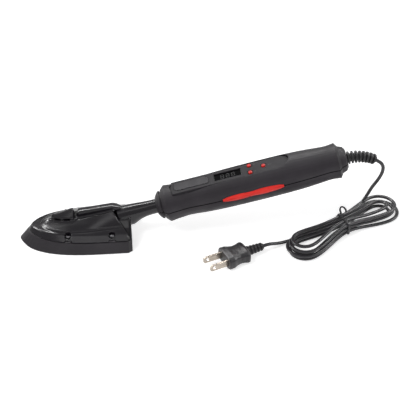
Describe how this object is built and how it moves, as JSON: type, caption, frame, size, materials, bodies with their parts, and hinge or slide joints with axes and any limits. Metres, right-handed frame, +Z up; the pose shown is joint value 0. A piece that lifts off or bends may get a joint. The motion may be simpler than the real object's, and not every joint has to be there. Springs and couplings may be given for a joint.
{
  "type": "film sealing iron",
  "caption": "Handheld sealing iron for heat-shrink covering film: flat boat-shaped heated shoe, straight neck, round handle with temperature display, buttons, mains lead and plug.",
  "frame": {"origin": "on the table under the middle of the iron without its cord, where the flat sole rests", "axes": "+X from the nose of the shoe towards the cord end of the handle, +Y to the left seen from behind the handle, +Z up"},
  "size_m": [0.3451, 0.0964, 0.0819],
  "materials": {
    "sole_coat": "satin non-stick coat on aluminium",
    "gloss_black": "gloss black moulding",
    "matte_charcoal": "fine-grained charcoal moulding",
    "panel_grey": "satin charcoal moulding",
    "red_rubber": "soft red overmould",
    "rubber_black": "satin black",
    "steel": "plated",
    "nickel": "nickel plate",
    "mica": "pressed mica",
    "board_green": "solder mask",
    "display_dark": "dark tinted window"
  },
  "bodies": {
    "iron": {"badge_plate": "panel_grey", "circuit_board": "board_green", "clamp_screw_front": "steel", "clamp_screw_rear": "steel", "control_panel": "panel_grey", "cord_hank": "rubber_black", "cord_lead": "rubber_black", "cord_tail": "rubber_black", "cover_screw_front_left": "steel", "cover_screw_front_right": "steel", "cover_screw_rear_left": "steel", "cover_screw_rear_right": "steel", "display_lens": "display_dark", "grip_inlay_left": "red_rubber", "grip_inlay_right": "red_rubber", "handle_lower_shell": "matte_charcoal", "handle_screw_front": "steel", "handle_screw_rear": "steel", "handle_upper_shell": "matte_charcoal", "heater_clamp": "steel", "heater_plate": "mica", "lcd_module": "board_green", "neck_tube": "gloss_black", "plug_blade_left": "nickel", "plug_blade_right": "nickel", "plug_body": "rubber_black", "rear_bracket": "gloss_black", "shoe_cover": "gloss_black", "sole_plate": "sole_coat", "strain_relief": "rubber_black", "switch_down": "steel", "switch_power": "steel", "switch_up": "steel", "temperature_sensor": "nickel", "wire_tie": "rubber_black"},
    "up": {"button_up": "red_rubber"},
    "down": {"button_down": "red_rubber"},
    "power": {"button_power": "red_rubber"}
  },
  "joints": [
    {"name": "press_up", "type": "slide", "parent": "iron", "child": "up", "axis": [0.2309, 0, -0.973], "range_m": [0, 0.0005], "stiffness_N_per_m": 600},
    {"name": "press_down", "type": "slide", "parent": "iron", "child": "down", "axis": [0.2309, 0, -0.973], "range_m": [0, 0.0005], "stiffness_N_per_m": 600},
    {"name": "press_power", "type": "slide", "parent": "iron", "child": "power", "axis": [0.2309, 0, -0.973], "range_m": [0, 0.0005], "stiffness_N_per_m": 600}
  ]
}
